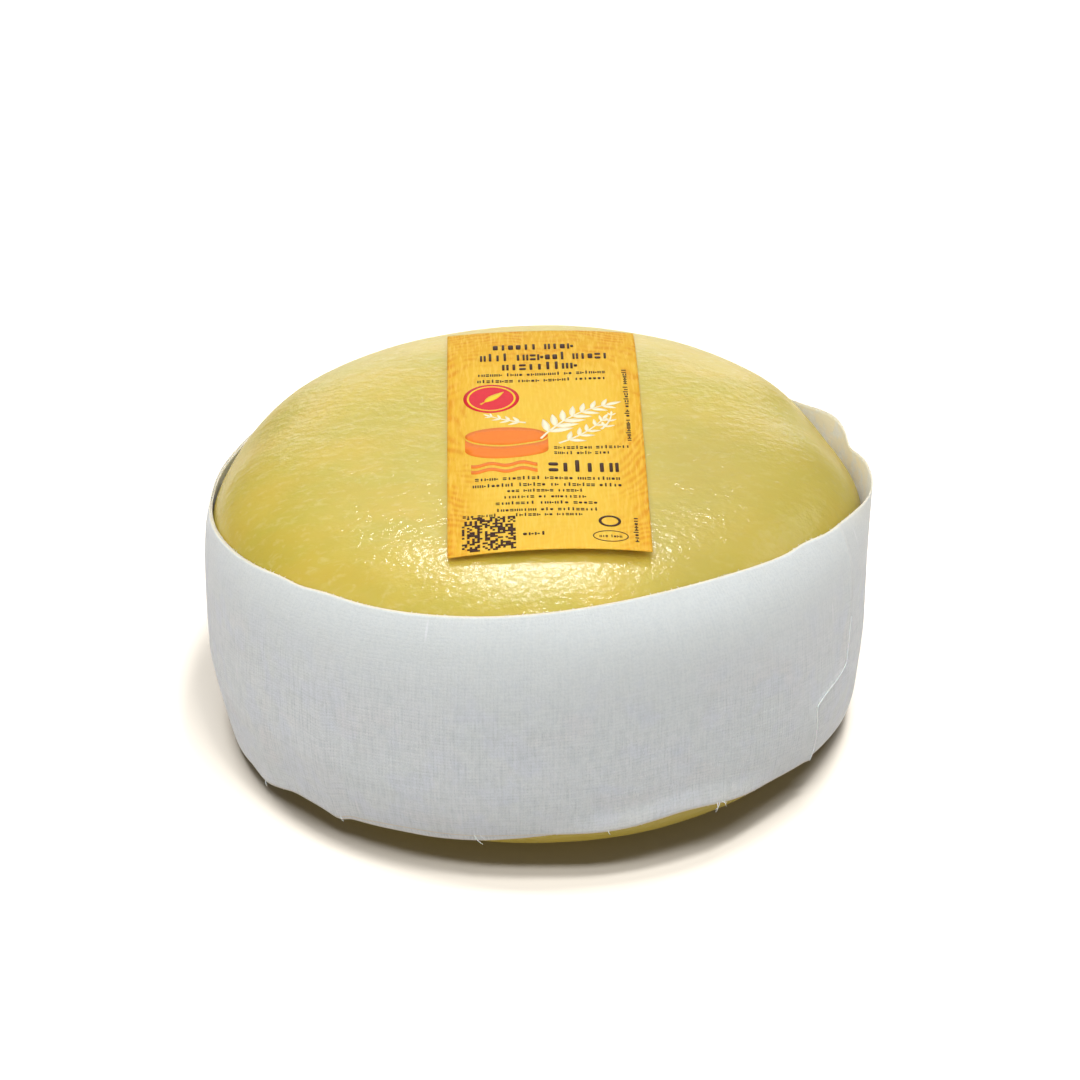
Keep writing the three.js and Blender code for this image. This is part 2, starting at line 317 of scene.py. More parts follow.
# Softboxes: name, degrees round from the front to the right, degrees up, distance,
# width and height, and watts. The dull lights give no gloss, and the gloss lights
# give nothing else.
LIGHTS_CENTRE = Vector((0, 0, 0.04))
DULL_LIGHTS = (
    ("above", 180, 64, 1.1, (0.6, 0.4), 3.2),
    ("left_high", -75, 68, 1.2, (0.5, 0.5), 1.4),
    ("right_high", 75, 68, 1.2, (0.5, 0.5), 1.1),
)
PART_LIGHTS = (
    ("front_high", -10, 60, 1.2, (0.9, 0.5), 4),
    ("front", 0, 38, 1.2, (0.9, 0.4), 0.8),
    ("front_low", 0, 16, 1.2, (1.2, 0.4), 3.7),
    ("left", -75, 38, 1.2, (0.6, 0.6), 2.6),
    ("right", 75, 38, 1.2, (0.6, 0.6), 1.2),
    ("rear_right", 120, 35, 1.2, (0.5, 0.5), 2.6),
)
GLOSS_LIGHTS = (
    ("glints_far", 183, 61, 1.1, (0.46, 0.15), 14),
    ("glints_near", 180, 80, 1.1, (0.4, 0.06), 7),
    ("rear", 180, 9, 1.2, (0.9, 0.5), 3.4),
)
FLOOR_LIGHTS = (
    ("floor_left", -100, 75, 1.6, (0.4, 0.4), 34),
    ("floor_right", 95, 81, 1.6, (0.4, 0.25), 33),
    ("floor_low", 5, 58, 1.6, (0.9, 0.2), 31),
    ("floor_high", 27, 70, 1.6, (0.4, 0.2), 37),
)
WORLD_ABOVE = ((1, 1, 1), 0.345)
WORLD_BELOW = ((1, 0.92, 0.84), 0.42)
HORIZON = 0.1
FLOOR_REACH = 20

# Camera of the photograph
CAMERA_ELEVATION = math.radians(30.5)
CAMERA_DISTANCE = 0.9
CAMERA_TARGET = Vector((0.0009, 0, 0.0441))
CAMERA_LENS = 132.93
CAMERA_SENSOR = 36
CAMERA_REACH = 100

# Sockets of a colour mix, by their numbers, since its named ones come in several kinds
MIX_FIRST = 6
MIX_SECOND = 7
MIX_RESULT = 2


class Surface:
    """A material with one Principled shader. Its methods add nodes and return their outputs."""

    def __init__(self, name, **values):
        self.material = bpy.data.materials.new(name)
        self.material.use_nodes = True
        self.tree = self.material.node_tree
        self.shader = self.tree.nodes["Principled BSDF"]
        for socket, value in values.items():
            self.shader.inputs[socket.replace("_", " ")].default_value = value

    def node(self, kind, inputs=(), **settings):
        made = self.tree.nodes.new("ShaderNode" + kind)
        for key, value in settings.items():
            setattr(made, key, value)
        for key, value in dict(inputs).items():
            self.put(value, made.inputs[key])
        return made

    def put(self, value, socket):
        if isinstance(value, bpy.types.NodeSocket):
            self.tree.links.new(value, socket)
        else:
            socket.default_value = value

    def drive(self, socket, value):
        self.put(value, self.shader.inputs[socket])

    def place(self):
        return self.node("TexCoord").outputs["Object"]

    def flat_place(self, name):
        return self.node("UVMap", uv_map=name).outputs["UV"]

    def split(self, vector):
        return self.node("SeparateXYZ", {0: vector}).outputs

    def stretch(self, vector, scale):
        return self.node("VectorMath", {0: vector, 1: scale}, operation="MULTIPLY").outputs[0]

    def calc(self, operation, first, second=0.0):
        return self.node("Math", {0: first, 1: second}, operation=operation).outputs[0]

    def grain(self, vector, detail=2.0, roughness=0.5, distortion=0.0):
        inputs = {"Vector": vector, "Scale": 1.0, "Detail": detail, "Roughness": roughness}
        return self.node("TexNoise", {**inputs, "Distortion": distortion}).outputs["Fac"]

    def spread(self, value, low, high, to_low=0.0, to_high=1.0):
        inputs = {"Value": value, "From Min": low, "From Max": high, "To Min": to_low, "To Max": to_high}
        return self.node("MapRange", inputs, interpolation_type="SMOOTHSTEP").outputs["Result"]

    def blend(self, share, first, second):
        inputs = {0: share, MIX_FIRST: first, MIX_SECOND: second}
        return self.node("Mix", inputs, data_type="RGBA").outputs[MIX_RESULT]

    def relief(self, height, depth, under=None):
        made = self.node("Bump", {"Height": height, "Distance": depth, "Strength": 1.0})
        if under is not None:
            self.put(under, made.inputs["Normal"])
        return made.outputs["Normal"]


def section_table():
    """The wheel's half section, from the edge of its flat base to the middle of its top."""
    base_share = (WAIST_HEIGHT / HEEL_DROP) ** HEEL_POWER
    base_radius = WHEEL_RADIUS * (1 - base_share) ** (1 / HEEL_POWER)
    turn = np.linspace(math.atan2(-WAIST_HEIGHT, base_radius), math.pi / 2, SECTION_STEPS + 1)
    height = np.where(turn < 0, HEEL_DROP, TOP_RISE)
    power = np.where(turn < 0, HEEL_POWER, SHOULDER_POWER)
    across = np.abs(np.cos(turn) / WHEEL_RADIUS) ** power
    upward = np.abs(np.sin(turn) / height) ** power
    reach = (across + upward) ** (-1 / power)
    points = np.stack([reach * np.cos(turn), WAIST_HEIGHT + reach * np.sin(turn)])
    steps = np.hypot(*np.diff(points))
    length = np.concatenate([[0], np.cumsum(steps)])
    return length, points, np.gradient(points, length, axis=1)


STRIP_LENGTH = math.radians(360 + OUTER_END_ANGLE - INNER_END_ANGLE) * STRIP_RADIUS
SECTION_LENGTHS, SECTION_POINTS, SECTION_TANGENTS = section_table()
SECTION_LENGTH = SECTION_LENGTHS[-1]
WAIST_LENGTH = np.interp(WAIST_HEIGHT, SECTION_POINTS[1], SECTION_LENGTHS)


def section(length):
    """Radius and height of the section at a length from the base, and its direction there."""
    both = (*SECTION_POINTS, *SECTION_TANGENTS)
    return [np.interp(length, SECTION_LENGTHS, values) for values in both]


def lumps(angle, share):
    """Low swellings of a hand-turned cheese, between -1 and 1."""
    slow = np.sin(2 * angle + 0.7 + 2.1 * share)
    middle = np.sin(3 * angle - 1.3 - 4 * share)
    quick = np.sin(5 * angle + 2.2 + 7 * share)
    return 0.5 * slow + 0.3 * middle + 0.2 * quick


def place_round(angle, radius, height):
    """Points at an angle, radius and height. Above the waist the wheel leans a little."""
    x = radius * np.sin(angle)
    y = -radius * np.cos(angle)
    upper = np.clip((height - WAIST_HEIGHT) / TOP_RISE, 0, 1)
    return np.stack(np.broadcast_arrays(x, y, height + upper * TOP_TILT * x), axis=-1)


def wheel_point(angle, length, out):
    """Points off the wheel at a length along its section."""
    radius, height, inward, upward = section(length)
    edge = np.minimum(np.minimum(radius, height) / LUMP_FADE, 1)
    off = out + LUMP_HEIGHT * lumps(angle, length / SECTION_LENGTH) * edge
    return place_round(angle, radius + upward * off, height - inward * off)


def waves(points, kind, seed):
    """Noise of a kind's wave length and height at each of an array of points."""
    wave, height = kind
    shift = Vector((seed * 7.1, seed * 3.7, seed * 5.3))
    flat = (points / wave).reshape(-1, 3).tolist()
    values = [noise.noise(Vector(point) + shift) for point in flat]
    return height * np.array(values).reshape(points.shape[:-1])


def grid_faces(columns, rows, shut):
    """Four-sided faces of a grid of points kept column by column."""
    column = np.arange(columns if shut else columns - 1)
    here = (column[:, None] * rows + np.arange(rows - 1)).ravel()
    there = (((column + 1) % columns)[:, None] * rows + np.arange(rows - 1)).ravel()
    return np.stack([here, there, there + 1, here + 1], axis=1)


def new_piece(name, points, faces, surface, flat=None, flat_name="flat"):
    """A smooth shaded mesh object. flat gives each point's place on the uncut sheet."""
    mesh = bpy.data.meshes.new(name)
    mesh.from_pydata(points.reshape(-1, 3).tolist(), [], [list(face) for face in faces])
    mesh.polygons.foreach_set("use_smooth", [True] * len(mesh.polygons))
    if flat is not None:
        corners = np.zeros(len(mesh.loops), int)
        mesh.loops.foreach_get("vertex_index", corners)
        layer = mesh.uv_layers.new(name=flat_name)
        layer.data.foreach_set("uv", flat.reshape(-1, 2)[corners].ravel())
    mesh.materials.append(surface.material)
    mesh.update()
    piece = bpy.data.objects.new(name, mesh)
    bpy.context.scene.collection.objects.link(piece)
    return piece


def thin_solid(name, inner, outer, surface, flat, flat_name):
    """A thin closed solid between two grids of points, columns by rows."""
    columns, rows = inner.shape[:2]
    count = columns * rows
    faces = grid_faces(columns, rows, False)
    index = np.arange(count).reshape(columns, rows)
    rim = np.concatenate([index[:-1, 0], index[-1, :-1], index[:0:-1, -1], index[0, :0:-1]])
    after = np.roll(rim, -1)
    edge = np.stack([rim, after, after + count, rim + count], axis=1)
    every = np.concatenate([faces + count, faces[:, ::-1], edge])
    points = np.concatenate([inner.reshape(-1, 3), outer.reshape(-1, 3)])
    return new_piece(name, points, every, surface, np.concatenate([flat, flat]), flat_name)


def rind_surface():
    """Oiled yellow rind: a mottled yellow with painted shade low on the shoulder and at the right front,
    under a clear wet film that glints on small dents."""
    made = Surface(
        "rind", Roughness=0.55, Specular_IOR_Level=0.2, Coat_Weight=0.3, Coat_Roughness=0.13,
        Subsurface_Weight=0.2, Subsurface_Scale=0.003, Subsurface_Radius=(1.0, 0.6, 0.2),
    )
    place = made.place()
    clouds = made.grain(made.stretch(place, (48, 70, 70)), 3)
    shades = made.grain(made.stretch(place, (95, 150, 150)), 3)
    flecks = made.grain(made.stretch(place, (330, 560, 560)), 4, 0.6, 0.4)
    dents = made.grain(made.stretch(place, (620, 700, 700)), 2)
    patches = made.grain(made.stretch(place, (130, 160, 160)), 2)
    body = made.blend(made.spread(clouds, 0.35, 0.65), *RIND_HUES)
    body = made.blend(made.spread(shades, 0.35, 0.65, 0, 0.22), body, RIND_DEEP)
    body = made.blend(made.spread(flecks, 0.5, 0.72, 0, 0.35), body, RIND_PALE)
    right, back, height = made.split(place)
    # Painted shade: the right front is darkened in the colour, less towards the back
    painted_right_shade = made.calc("MULTIPLY", made.spread(right, *PAINTED_RIGHT_SHADE_ACROSS), made.spread(back, *PAINTED_RIGHT_SHADE_BACK, 0.6, 0))
    body = made.blend(painted_right_shade, body, RIND_PAINTED_SHADE_RIGHT)
    # Painted shade: below the shoulder the colour is darkened halfway to the shoulder shade
    body = made.blend(made.spread(height, *SHOULDER_SHADE, 0.5, 0), body, RIND_PAINTED_SHOULDER_SHADE)
    made.drive("Base Color", body)
    rough = made.calc("MULTIPLY", dents, made.spread(patches, 0.3, 0.6, 0.6, 1))
    made.drive("Coat Normal", made.relief(rough, RIND_COAT_RELIEF))
    made.drive("Normal", made.relief(rough, RIND_RELIEF))
    return made


def cotton_surface():
    """Thin plain-woven cotton: uneven threads with small shades between them, painted shade towards its rim,
    oil and painted warm light where the rim stands loose, and with cream raw edges."""
    made = Surface(
        "cotton", Roughness=0.85, Specular_IOR_Level=0.2, Sheen_Weight=0.4,
        Subsurface_Weight=0.7, Subsurface_Scale=0.002, Subsurface_Radius=(1.0, 0.92, 0.82),
    )
    flat = made.flat_place("strip")
    place = made.place()
    wobble = made.calc("MULTIPLY", made.grain(made.stretch(place, (90, 90, 90)), 2), 2.6)
    along, across, _ = made.split(flat)
    warp = made.calc("SINE", made.calc("ADD", made.calc("MULTIPLY", along, math.pi / THREAD_PITCH), wobble))
    weft = made.calc("SINE", made.calc("ADD", made.calc("MULTIPLY", across, math.pi / THREAD_PITCH), wobble))
    over = made.spread(made.calc("MULTIPLY", warp, weft), -0.4, 0.4)
    first = made.calc("MULTIPLY", made.calc("ABSOLUTE", warp), over)
    second = made.calc("MULTIPLY", made.calc("ABSOLUTE", weft), made.calc("SUBTRACT", 1.0, over))
    weave = made.calc("ADD", first, second)
    clouds = made.grain(made.stretch(place, (60, 60, 60)), 3)
    tints = made.grain(made.stretch(place, (110, 110, 110)), 2)
    warmth = made.grain(made.stretch(place, (45, 75, 75)), 2)
    clear = made.grain(made.stretch(place, (300, 300, 300)), 2)
    standing = made.grain(made.stretch(flat, (1300, 160, 1)), 1)
    lying = made.grain(made.stretch(flat, (170, 1300, 1)), 1)
    fuzz = made.grain(made.stretch(place, (1700, 1700, 1700)), 3, 0.7)
    slubs = made.grain(made.stretch(flat, (600, 90, 1)), 0)
    body = made.blend(made.spread(clouds, 0.35, 0.65), *COTTON_HUES)
    body = made.blend(made.spread(tints, 0.45, 0.65, 0, 0.7), body, COTTON_COOL)
    body = made.blend(made.spread(warmth, 0.56, 0.7, 0, 0.6), body, COTTON_WARM)
    height = made.split(place)[2]
    # Painted shade: the cloth's colour is darker towards its top, and its weave fades there
    body = made.blend(made.spread(height, *PAINTED_TOP_SHADE_HEIGHTS), body, COTTON_PAINTED_TOP_SHADE)
    weave_share = made.spread(height, *WEAVE_FADE_HEIGHTS, 1, 0.3)
    shown = made.calc("MULTIPLY", made.spread(clear, 0.35, 0.65, 0.6, 1), weave_share)
    lines = made.calc("MULTIPLY", made.spread(weave, 0.1, 0.55, 1, 0), 0.42)
    lines = made.calc("ADD", lines, made.spread(standing, 0.38, 0.55, 0.26, 0))
    lines = made.calc("ADD", lines, made.spread(lying, 0.38, 0.55, 0.16, 0))
    body = made.blend(made.calc("MULTIPLY", lines, shown), body, COTTON_PORE)
    body = made.blend(made.spread(fuzz, 0.35, 0.6, 0.2, 0), body, COTTON_PORE)
    body = made.blend(made.spread(slubs, 0.8, 0.86, 0, 0.5), body, COTTON_PALE)
    # Partly oil, partly painted warm light: near the loose rim at the right rear the cloth is tinted
    # cream-yellow
    from_flare = made.calc("ABSOLUTE", made.calc("SUBTRACT", along, OIL_AND_GLOW_ALONG))
    near_flare = made.spread(from_flare, 0.4 * OIL_AND_GLOW_REACH, OIL_AND_GLOW_REACH, 1, 0)
    oil_and_glow = made.calc("MULTIPLY", near_flare, made.spread(across, CLOTH_WIDTH - OIL_AND_GLOW_DEPTH, CLOTH_WIDTH))
    oil_and_glow = made.calc("MULTIPLY", oil_and_glow, made.spread(clear, 0.38, 0.6, 0.25, 1))
    body = made.blend(oil_and_glow, body, COTTON_OIL_AND_GLOW)
    middle = made.calc("ABSOLUTE", made.calc("SUBTRACT", across, CLOTH_WIDTH / 2))
    edge = made.spread(middle, CLOTH_WIDTH / 2 - RAW_EDGE, CLOTH_WIDTH / 2 - 0.3 * RAW_EDGE, 0, 0.9)
    body = made.blend(edge, body, COTTON_EDGE)
    made.drive("Base Color", body)
    threads = made.calc("MULTIPLY", weave, weave_share)
    made.drive("Normal", made.relief(threads, WEAVE_RELIEF, made.relief(fuzz, FUZZ_RELIEF)))
    return made


def thread_surface():
    """Loose cotton thread, with a slight twist."""
    made = Surface(
        "thread", Roughness=0.8, Specular_IOR_Level=0.2, Subsurface_Weight=0.3, Subsurface_Scale=0.001,
    )
    twist = made.grain(made.stretch(made.place(), (2500, 2500, 2500)), 1)
    made.drive("Base Color", made.blend(twist, COTTON_HUES[1], COTTON_PALE))
    return made


def paper_surface():
    """Printed label paper: an orange-yellow ground with darker curved grain at its sides and far end."""
    made = Surface(
        "label_paper", Roughness=0.6, Specular_IOR_Level=0.02,
        Subsurface_Weight=0.5, Subsurface_Scale=0.0006, Subsurface_Radius=(1.0, 0.6, 0.2),
    )
    flat = made.flat_place("label")
    across, back, _ = made.split(flat)
    side = made.spread(made.calc("ABSOLUTE", across), *PAPER_SIDES)
    far = made.spread(back, *PAPER_FAR_END)
    outer = made.calc("MAXIMUM", side, far)
    bend = made.grain(made.stretch(flat, (60, 40, 1)), 2)
    from_middle = made.node("VectorMath", {0: flat, 1: GRAIN_MIDDLE}, operation="DISTANCE").outputs["Value"]
    rings = made.calc("MULTIPLY", from_middle, 2 * math.pi / GRAIN_PITCH)
    wavy = made.calc("SINE", made.calc("ADD", rings, made.calc("MULTIPLY", bend, GRAIN_BEND)))
    lines = made.calc("MULTIPLY", made.calc("ADD", wavy, 1.0), 0.5)
    patches = made.grain(made.stretch(flat, (120, 60, 1)), 3, 0.6, 1.2)
    flames = made.calc("MULTIPLY", lines, made.spread(patches, 0.4, 0.62, 0.05, 1))
    fine = made.grain(made.stretch(flat, (1500, 160, 1)), 3, 0.6)
    body = made.blend(made.calc("MULTIPLY", outer, 0.7), PAPER_MIDDLE, PAPER_SIDE)
    body = made.blend(made.calc("MULTIPLY", far, 0.4), body, PAPER_SIDE)
    strength = made.calc("ADD", 0.08, made.calc("MULTIPLY", outer, 0.55))
    body = made.blend(made.calc("MULTIPLY", flames, strength), body, PAPER_FLAME)
    body = made.blend(made.spread(fine, 0.42, 0.7, 0, 0.45), body, PAPER_PALE)
    made.drive("Base Color", body)
    return made


def ink_surface(name, colour):
    """Printing ink that lets a little of the paper's unevenness through."""
    made = Surface(name, Roughness=0.6, Specular_IOR_Level=0.1)
    uneven = made.grain(made.stretch(made.place(), (900, 900, 900)), 2)
    darker = tuple(0.82 * part for part in colour)
    made.drive("Base Color", made.blend(uneven, (*colour, 1), (*darker, 1)))
    return made


def felt(place, angle, power=2, wrap=True):
    """How strongly a place is felt at an angle: its size there, and less away from it."""
    size, middle, spread = place
    away = angle - math.radians(middle)
    if wrap:
        away = (away + math.pi) % (2 * math.pi) - math.pi
    return size * np.exp(-np.abs(away / math.radians(spread)) ** power)


def smooth_step(value):
    value = np.clip(value, 0, 1)
    return value * value * (3 - 2 * value)


def pressed_in(angle, length):
    """How far the shoulder is pressed flat at the right rear and the left rear."""
    depth = sum(felt(place, angle) for place in FLAT_PLACES)
    above = length - WAIST_LENGTH - FLAT_PLACES_ABOVE_WAIST
    reach = np.where(above > 0, FLAT_PLACES_REACH_UP, FLAT_PLACES_REACH_DOWN)
    return depth * np.exp(-((above / reach) ** 2))


def cheese_wheel(surface):
    """The cheese: rings from the base's edge to near the middle of the top, closed by two fans."""
    angle = np.arange(WHEEL_COLUMNS)[:, None] * (2 * math.pi / WHEEL_COLUMNS)
    length = np.arange(WHEEL_ROWS)[None, :] * (SECTION_LENGTH / WHEEL_ROWS)
    plain = wheel_point(angle, length, 0)
    relief = waves(plain, DENTS, 1) + waves(plain * RIPPLE_STRETCH, RIPPLES, 2)
    low = np.clip(plain[..., 2] / LUMP_FADE, 0, 1)
    middle = np.clip(np.hypot(plain[..., 0], plain[..., 1]) / LUMP_FADE, 0, 1)
    rings = wheel_point(angle, length, relief * low * middle - pressed_in(angle, length))
    bottom = np.zeros((1, 3))
    top = wheel_point(np.zeros(1), np.array([SECTION_LENGTH]), 0)
    faces = grid_faces(WHEEL_COLUMNS, WHEEL_ROWS, True).tolist()
    count = WHEEL_COLUMNS * WHEEL_ROWS
    for column in range(WHEEL_COLUMNS):
        here = column * WHEEL_ROWS
        there = (column + 1) % WHEEL_COLUMNS * WHEEL_ROWS
        faces.append([count, there, here])
        faces.append([count + 1, here + WHEEL_ROWS - 1, there + WHEEL_ROWS - 1])
    points = np.concatenate([rings.reshape(-1, 3), bottom, top])
    piece = new_piece("cheese", points, faces, surface)
    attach(piece, "root")
    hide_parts("cheese_wheel")
    return piece


def cloth_wander(angle):
    """How far above the waist the strip's middle line is at an angle."""
    total = CLOTH_MIDDLE
    for index, (swing, phase) in enumerate(zip(CLOTH_SWINGS, CLOTH_SWING_PHASES)):
        total = total + swing * np.cos((index + 1) * angle - math.radians(phase))
    return total


def hem_shift(angle):
    """How far the hem is drawn up above an even strip's, or down where it is negative. The
    strip's first layer shows below the second one at the left front."""
    scallops = sum(felt(place, angle) for place in HEM_SCALLOPS)
    drop = felt(INNER_HEM_DROP, angle, 2, False)
    return felt(HEM_DRAWN_UP, angle) - felt(HEM_SAGGING, angle) + scallops - drop


def rim_drop(angle):
    """How far the rim is drawn down below an even strip's."""
    return sum(felt(place, angle) for place in RIM_DRAWN_DOWN + RIM_SCALLOPS)


def looseness(places, angle):
    """How freely the hem or the rim stands at an angle: the most that one of its places gives."""
    return np.maximum(*[felt(place, angle, LOOSE_POWER) for place in places])


def cloth_point(angle, along, out):
    """Points on the cloth, off the wheel and along from its waist. The cloth hugs the wheel,
    except where its rim or its hem goes straight on. The loose rim at the right rear has a
    notch and a bulge, and the loose hem at the right has a bulge."""
    hugging = wheel_point(angle, WAIST_LENGTH + along, out)
    rim = along > 0
    bend = np.where(rim, RIM_LIFT_OFF, HEM_LIFT_OFF)
    past = np.maximum(along / bend - 1, 0) * np.abs(bend)
    start_radius, start_height, _, _ = section(WAIST_LENGTH + bend)
    lean = np.where(rim, RIM_LEAN, HEM_LEAN)
    flare = (felt(FLARE_BULGE, angle) - felt(FLARE_NOTCH, angle)) * smooth_step(past / FLARE_LENGTH)
    bulge = np.where(rim, flare, felt(HEM_BULGE, angle) * smooth_step(past / HEM_BULGE_LENGTH))
    radius = start_radius + out + lean * past + bulge
    free = place_round(angle, radius, start_height + np.where(rim, past + FLARE_RISE * flare, -past))
    freedom = np.where(rim, looseness(RIM_LOOSE, angle), looseness(HEM_LOOSE, angle)) * (past > 0)
    return hugging + (free - hugging) * freedom[..., None]


def cloth_layer(wound):
    """How far off the wheel the strip's inner face is after a length of winding."""
    climbed = 1 - (2 * math.pi - wound) / math.radians(CLIMB_LENGTH)
    return CLOTH_GAP + (CLOTH_THICKNESS + LAYER_GAP) * smooth_step(climbed / CLIMB_DONE)


def outer_end_angle(along):
    """The outer end is cut in a step: its lower part stops short. Both parts slant away from it."""
    above = along - OUTER_END_STEP_ALONG
    lower = 1 - smooth_step(above / OUTER_END_STEP_LENGTH + 0.5)
    slant = OUTER_END_SLANT * np.abs(above)
    return np.radians(360 + OUTER_END_ANGLE - OUTER_END_STEP * lower + slant)


def cloth_place(column, row):
    """Angle and height along the wheel of the strip's points, by shares of its length and width."""
    start = math.radians(INNER_END_ANGLE)
    length = math.radians(360 + OUTER_END_ANGLE) - start
    across = (row - 0.5) * CLOTH_WIDTH
    plain = start + length * column
    end = outer_end_angle(across + cloth_wander(start + length))
    near = np.maximum(1 - (start + length - plain) / math.radians(OUTER_END_REACH), 0)
    angle = plain + near * (end - start - length)
    along = cloth_wander(angle) + across + (1 - row) * hem_shift(angle) - row * rim_drop(angle)
    return angle, along, angle - start


def cloth_body(column, row, depth):
    """Points in the cloth at a share of its thickness, with its waves, its flared hem and its
    raised outer end."""
    angle, along, wound = cloth_place(column, row)
    inside = cloth_layer(wound)
    plain = cloth_point(angle, along, inside)
    relief = np.maximum(waves(plain, CLOTH_WAVE, 3) + waves(plain, CLOTH_PUCKER, 4), CLOTH_DEEPEST)
    outer_layer = (inside - CLOTH_GAP) / (CLOTH_THICKNESS + LAYER_GAP)
    low = smooth_step(1 - row * CLOTH_WIDTH / HEM_FLARE_LENGTH)
    relief = relief + outer_layer * low * felt(HEM_FLARE, angle, LOOSE_POWER)
    relief = relief + END_CURL * smooth_step(1 - (1 - column) * STRIP_LENGTH / END_CURL_LENGTH)
    return cloth_point(angle, along, inside + relief + depth * CLOTH_THICKNESS)


def cloth_strip(surface):
    """The cloth: one strip of even width, wound from its inner end, round and on to its outer end."""
    column = np.linspace(0, 1, CLOTH_COLUMNS + 1)[:, None]
    row = np.linspace(0, 1, CLOTH_ROWS + 1)[None, :]
    wound = cloth_place(column, row)[2]
    flat = np.stack(np.broadcast_arrays(wound * STRIP_RADIUS, row * CLOTH_WIDTH), axis=-1)
    inner = cloth_body(column, row, 0)
    outer = cloth_body(column, row, 1)
    piece = thin_solid("cloth", inner, outer, surface, flat, "strip")
    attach(piece, "root")
    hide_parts("cloth_band")
    return piece


def tubes(name, routes, radius, surface, sides):
    """Thin closed tubes along routes, in one piece. Each route has the same number of points."""
    steps = routes.shape[1]
    ahead = np.gradient(routes, axis=1)
    ahead /= np.linalg.norm(ahead, axis=2)[..., None]
    aside = np.cross(ahead, TUBE_DIRECTION)
    aside /= np.linalg.norm(aside, axis=2)[..., None]
    above = np.cross(ahead, aside)
    turn = (np.arange(sides) * (2 * math.pi / sides))[None, :, None, None]
    thickness = radius * np.linspace(1, THREAD_TIP, steps)[None, None, :, None]
    ring = np.cos(turn) * aside[:, None] + np.sin(turn) * above[:, None]
    points = routes[:, None] + thickness * ring
    walls = grid_faces(sides, steps, True)
    faces = []
    for index in range(len(routes)):
        first = index * sides * steps
        faces += (walls + first).tolist()
        faces.append([first + side * steps for side in range(sides)][::-1])
        faces.append([first + side * steps + steps - 1 for side in range(sides)])
    piece = new_piece(name, points, faces, surface)
    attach(piece, "root")
    return piece


def cloth_fibres(surface):
    """Short fibres that stick out of the strip's two raw edges."""
    share = np.linspace(FIBRE_ROOT, 1, FIBRE_POINTS)[None, :]
    routes = []
    for side in (0, 1):
        start = np.array([random.random() for _ in range(FIBRES_AN_EDGE)])[:, None]
        reach = np.array([random.random() ** FIBRE_SHORTNESS for _ in range(FIBRES_AN_EDGE)])[:, None]
        drift = np.array([random.uniform(-1, 1) for _ in range(FIBRES_AN_EDGE)])[:, None]
        depth = np.array([random.uniform(*FIBRE_DEPTHS) for _ in range(FIBRES_AN_EDGE)])[:, None]
        length = FIBRE_LENGTHS[0] + reach * (FIBRE_LENGTHS[1] - FIBRE_LENGTHS[0])
        column = np.clip(start + drift * length * share**2 / STRIP_LENGTH, 0, 1)
        row = side + (2 * side - 1) * share * length / CLOTH_WIDTH
        routes.append(cloth_body(column, row, depth + 0 * share))
    return tubes("cloth_fibres", np.concatenate(routes), FIBRE_RADIUS, surface, 4)


def end_thread(surface):
    """The thick thread along the lower part of the strip's outer end."""
    row = np.linspace(*END_THREAD_ROWS, END_THREAD_POINTS)[None, :]
    route = cloth_body(np.ones((1, 1)), row, END_THREAD_DEPTH)
    return tubes("cloth_end_thread", route, END_THREAD_RADIUS, surface, 6)


def loose_threads(surface):
    """A few longer threads that hang from the hem of the outermost layer."""
    share = np.linspace(0, 1, LOOSE_THREAD_POINTS)
    whole = 360 + OUTER_END_ANGLE - INNER_END_ANGLE
    routes = []
    for angle, aside, drop, off in LOOSE_THREADS:
        turned = (angle - INNER_END_ANGLE) % 360 + 360
        if turned > whole:
            turned -= 360
        column = np.array([[turned / whole]])
        root = cloth_body(column, np.array([[LOOSE_THREAD_ROW]]), LOOSE_THREAD_DEPTH)[0, 0]
        away = np.array([math.sin(math.radians(angle)), -math.cos(math.radians(angle)), 0])
        sideways = np.array([math.cos(math.radians(angle)), math.sin(math.radians(angle)), 0])
        bulge = np.sin(math.pi * share)[:, None]
        bent = share[:, None] ** LOOSE_THREAD_BEND
        route = root + bent * aside * sideways + off * (share[:, None] + bulge) / 2 * away
        routes.append(route - share[:, None] * (LOOSE_THREAD_LEAST_DROP + drop) * np.array([0, 0, 1]))
    return tubes("cloth_loose_threads", np.array(routes), LOOSE_THREAD_RADIUS, surface, 5)


def wheel_top(x, y):
    """Height of the wheel's top over a place."""
    radius = np.hypot(x, y)
    upper = SECTION_LENGTHS > WAIST_LENGTH
    length = np.interp(radius, SECTION_POINTS[0][upper][::-1], SECTION_LENGTHS[upper][::-1])
    return wheel_point(np.arctan2(x, -y), length, 0)[..., 2]


def label_point(across, back, above):
    """Points above the label's underside, by their place on the flat label."""
    x = LABEL_CENTRE[0] + across * math.cos(LABEL_TURN) - back * math.sin(LABEL_TURN)
    y = LABEL_CENTRE[1] + across * math.sin(LABEL_TURN) + back * math.cos(LABEL_TURN)
    near = np.clip(1 - (back + LABEL_LENGTH / 2) / LABEL_LIFT_LENGTH, 0, 1)
    side = across / (LABEL_WIDTH / 2)
    lift = LABEL_FRONT_LIFT * near**2 * (1 - LABEL_CORNER_DROP * side**2 + LABEL_RIGHT_RISE * side)
    height = wheel_top(x, y) + LABEL_GAP + lift + above
    return np.stack(np.broadcast_arrays(x, y, height), axis=-1)


